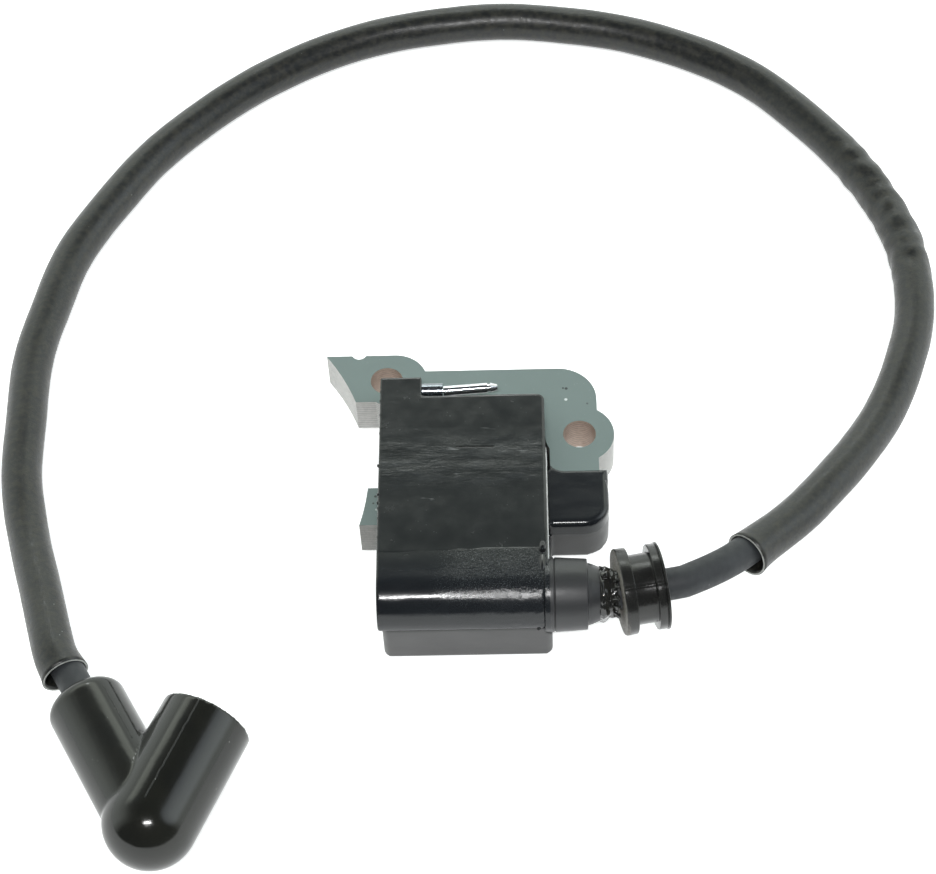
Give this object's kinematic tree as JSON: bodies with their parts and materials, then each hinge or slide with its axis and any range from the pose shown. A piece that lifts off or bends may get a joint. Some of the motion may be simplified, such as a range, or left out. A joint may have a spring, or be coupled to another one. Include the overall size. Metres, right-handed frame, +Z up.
{
  "type": "ignition coil",
  "caption": "Potted ignition coil module on a laminated two-pole core, with a sleeved high-voltage lead, rubber grommet and elbow spark plug boot.",
  "frame": {"origin": "middle of the module's footprint (core, case and tower, without the lead), on the surface it lies on", "axes": "+X towards the side the lead leaves, +Y towards the back leg of the core, +Z up, along the mounting holes"},
  "size_m": [0.1537, 0.1758, 0.0169],
  "materials": {
    "lamination_steel": "satin grey-green paint, bare cut edges",
    "case_plastic": "satin",
    "adhesive": "glossy, ragged",
    "resin": "glossy",
    "bobbin_plastic": "satin",
    "copper_wire": "varnished copper",
    "tinned_wire": "tinned",
    "board": "satin",
    "capacitor_film": "glossy",
    "semiconductor": "matte",
    "resistor_body": "satin",
    "brass_strip": "bright",
    "wire_insulation": "satin",
    "plated_terminal": "bright plated",
    "copper_strands": "bright",
    "lead_rubber": "matte",
    "sleeve_vinyl": "glossy",
    "grommet_rubber": "matte, dusty",
    "boot_rubber": "glossy",
    "spring_steel": "bright"
  },
  "bodies": {
    "module": {"core_laminations": "lamination_steel", "case_lower": "case_plastic", "case_upper": "case_plastic", "lead_tower": "case_plastic", "tower_adhesive": "adhesive", "potting_resin": "resin", "coil_bobbin": "bobbin_plastic", "charge_winding": "copper_wire", "primary_winding": "copper_wire", "secondary_bobbin": "bobbin_plastic", "secondary_winding": "copper_wire", "coil_pins": "tinned_wire", "circuit_board": "board", "charge_capacitor": "capacitor_film", "thyristor": "semiconductor", "diodes": "semiconductor", "resistors": "resistor_body", "earth_tab": "brass_strip", "stop_wire": "wire_insulation", "stop_barrel": "plated_terminal", "stop_pin": "plated_terminal", "hv_link": "copper_wire", "hv_contact": "brass_strip", "hv_conductor": "copper_strands", "hv_lead": "lead_rubber", "lead_sleeve": "sleeve_vinyl"},
    "grommet": {"lead_grommet": "grommet_rubber"},
    "boot": {"plug_boot": "boot_rubber", "boot_spring": "spring_steel"}
  },
  "joints": [
    {"name": "grommet_slide", "type": "slide", "parent": "module", "child": "grommet", "axis": [0.9848, 0.1736, 0], "range_m": [0, 0.003]},
    {"name": "boot_swivel", "type": "hinge", "parent": "module", "child": "boot", "pos_m": [-0.0464, -0.0561, 0.0071], "axis": [0.4845, -0.8741, 0.0349], "range_deg": [0, 120]}
  ]
}
